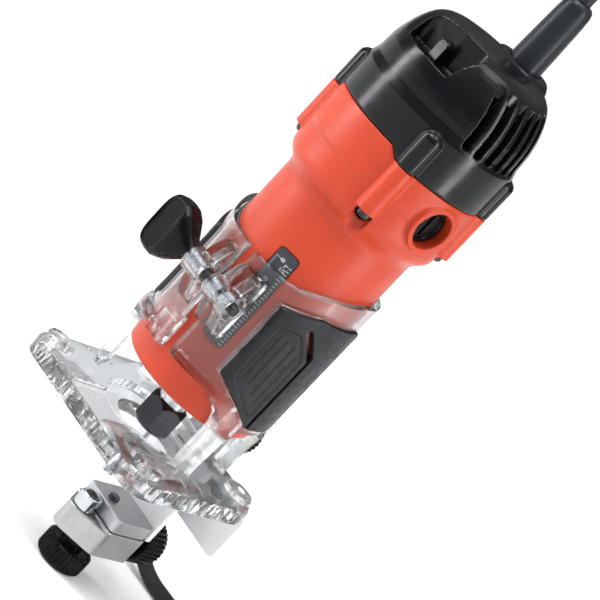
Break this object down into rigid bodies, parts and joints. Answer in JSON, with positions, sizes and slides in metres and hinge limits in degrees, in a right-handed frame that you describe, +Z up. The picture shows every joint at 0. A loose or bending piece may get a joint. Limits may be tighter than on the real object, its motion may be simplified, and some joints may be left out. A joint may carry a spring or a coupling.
{
  "type": "trim router",
  "caption": "Hand-held trim router: motor unit clamped in a clear split base, with collet, cutter and an adjustable roller guide.",
  "frame": {"origin": "spindle axis in the plane of the sole", "axes": "+Z up the spindle away from the cutter, -Y towards the base clamp"},
  "size_m": [0.2125, 0.132, 0.3714],
  "materials": {
    "clear_plastic": "clear polycarbonate, polished",
    "grip_rubber": "matte elastomer",
    "black_plastic": "fine-textured moulded plastic",
    "orange_plastic": "semi-gloss moulded plastic",
    "dark_steel": "black oxide",
    "bright_steel": "bright, turned",
    "brass": "plain",
    "copper": "enamelled copper",
    "cast_aluminium": "satin casting",
    "white_plate": "light grey satin paint",
    "scale_plate": "dark grey with light graduations",
    "fan_plastic": "moulded",
    "carbon": "pressed carbon",
    "cord_rubber": "black rubber sheath"
  },
  "bodies": {
    "base": {"base_shell": "clear_plastic", "grip_pad_right": "grip_rubber", "grip_pad_left": "grip_rubber", "clamp_sleeve": "bright_steel", "clamp_bush": "bright_steel", "clamp_nut": "bright_steel", "guide_bracket": "white_plate", "guide_holder": "cast_aluminium", "guide_insert": "brass", "cord_coil": "cord_rubber", "cord_tail": "cord_rubber", "plug_body": "cord_rubber", "plug_pin_a": "brass", "plug_pin_b": "brass"},
    "motor_unit": {"motor_housing": "orange_plastic", "top_cap": "black_plastic", "cord_guard": "grip_rubber", "depth_scale": "scale_plate", "cap_screw_front_right": "bright_steel", "cap_screw_back_right": "bright_steel", "cap_screw_back_left": "bright_steel", "cap_screw_front_left": "bright_steel", "switch_body": "black_plastic", "brush_cap_right": "black_plastic", "brush_cap_left": "black_plastic", "brush_holder_right": "brass", "brush_holder_left": "brass", "carbon_brush_right": "carbon", "carbon_brush_left": "carbon", "brush_spring_right": "bright_steel", "brush_spring_left": "bright_steel", "field_core": "bright_steel", "field_coil_upper": "copper", "field_coil_lower": "copper", "lower_bearing": "bright_steel", "bearing_retainer": "dark_steel", "upper_bearing": "bright_steel", "bearing_bracket": "black_plastic", "cord_run": "cord_rubber"},
    "rotor": {"spindle": "bright_steel", "armature": "copper", "commutator": "copper", "cooling_fan": "fan_plastic", "collet": "bright_steel", "router_bit": "bright_steel"},
    "collet_nut_body": {"collet_nut": "dark_steel"},
    "switch": {"switch_lever": "black_plastic"},
    "base_clamp": {"clamp_knob": "black_plastic", "clamp_screw": "dark_steel"},
    "guide_clamp": {"guide_knob": "black_plastic", "guide_screw": "bright_steel"},
    "slide_clamp": {"slide_knob": "black_plastic", "slide_screw": "dark_steel"},
    "slider": {"guide_slider": "cast_aluminium", "roller_axle": "dark_steel"},
    "adjuster": {"adjust_knob": "black_plastic", "adjust_screw": "bright_steel"},
    "roller": {"guide_roller": "bright_steel", "roller_bearing": "bright_steel"}
  },
  "joints": [
    {"name": "depth_slide", "type": "slide", "parent": "base", "child": "motor_unit", "axis": [0, 0, 1], "range_m": [-0.008, 0.018], "deforming": ["cord_run"]},
    {"name": "spindle_spin", "type": "hinge", "parent": "motor_unit", "child": "rotor", "pos_m": [0, 0, 0.1], "axis": [0, 0, 1], "continuous": true},
    {"name": "collet_nut_turn", "type": "hinge", "parent": "rotor", "child": "collet_nut_body", "pos_m": [0, 0, 0.014], "axis": [0, 0, 1], "range_deg": [0, 360]},
    {"name": "switch_toggle", "type": "hinge", "parent": "motor_unit", "child": "switch", "pos_m": [-0.00166, -0.02811, 0.198], "axis": [0.9863, -0.165, 0], "range_deg": [-5, 10]},
    {"name": "base_clamp_turn", "type": "hinge", "parent": "base", "child": "base_clamp", "pos_m": [0, -0.042, 0.0806], "axis": [1, 0, 0], "range_deg": [0, 540]},
    {"name": "guide_clamp_turn", "type": "hinge", "parent": "base", "child": "guide_clamp", "pos_m": [0.001, 0.045, 0.0205], "axis": [0, 1, 0], "range_deg": [0, 540]},
    {"name": "slide_clamp_turn", "type": "hinge", "parent": "base", "child": "slide_clamp", "pos_m": [0.0055, 0.01, -0.055], "axis": [0, 0, 1], "range_deg": [0, 360]},
    {"name": "guide_slide", "type": "slide", "parent": "base", "child": "slider", "axis": [0, 1, 0], "range_m": [-0.004, 0]},
    {"name": "adjuster_turn", "type": "hinge", "parent": "slider", "child": "adjuster", "pos_m": [0.008, 0.04, -0.0435], "axis": [0, 1, 0], "range_deg": [-1350, 0]},
    {"name": "roller_spin", "type": "hinge", "parent": "slider", "child": "roller", "pos_m": [0.0053, -0.0029, -0.034], "axis": [0, 0, 1], "continuous": true}
  ],
  "couplings": [
    {"joint": "guide_slide", "follows": "adjuster_turn", "m_per_rad": 0.00015915}
  ]
}
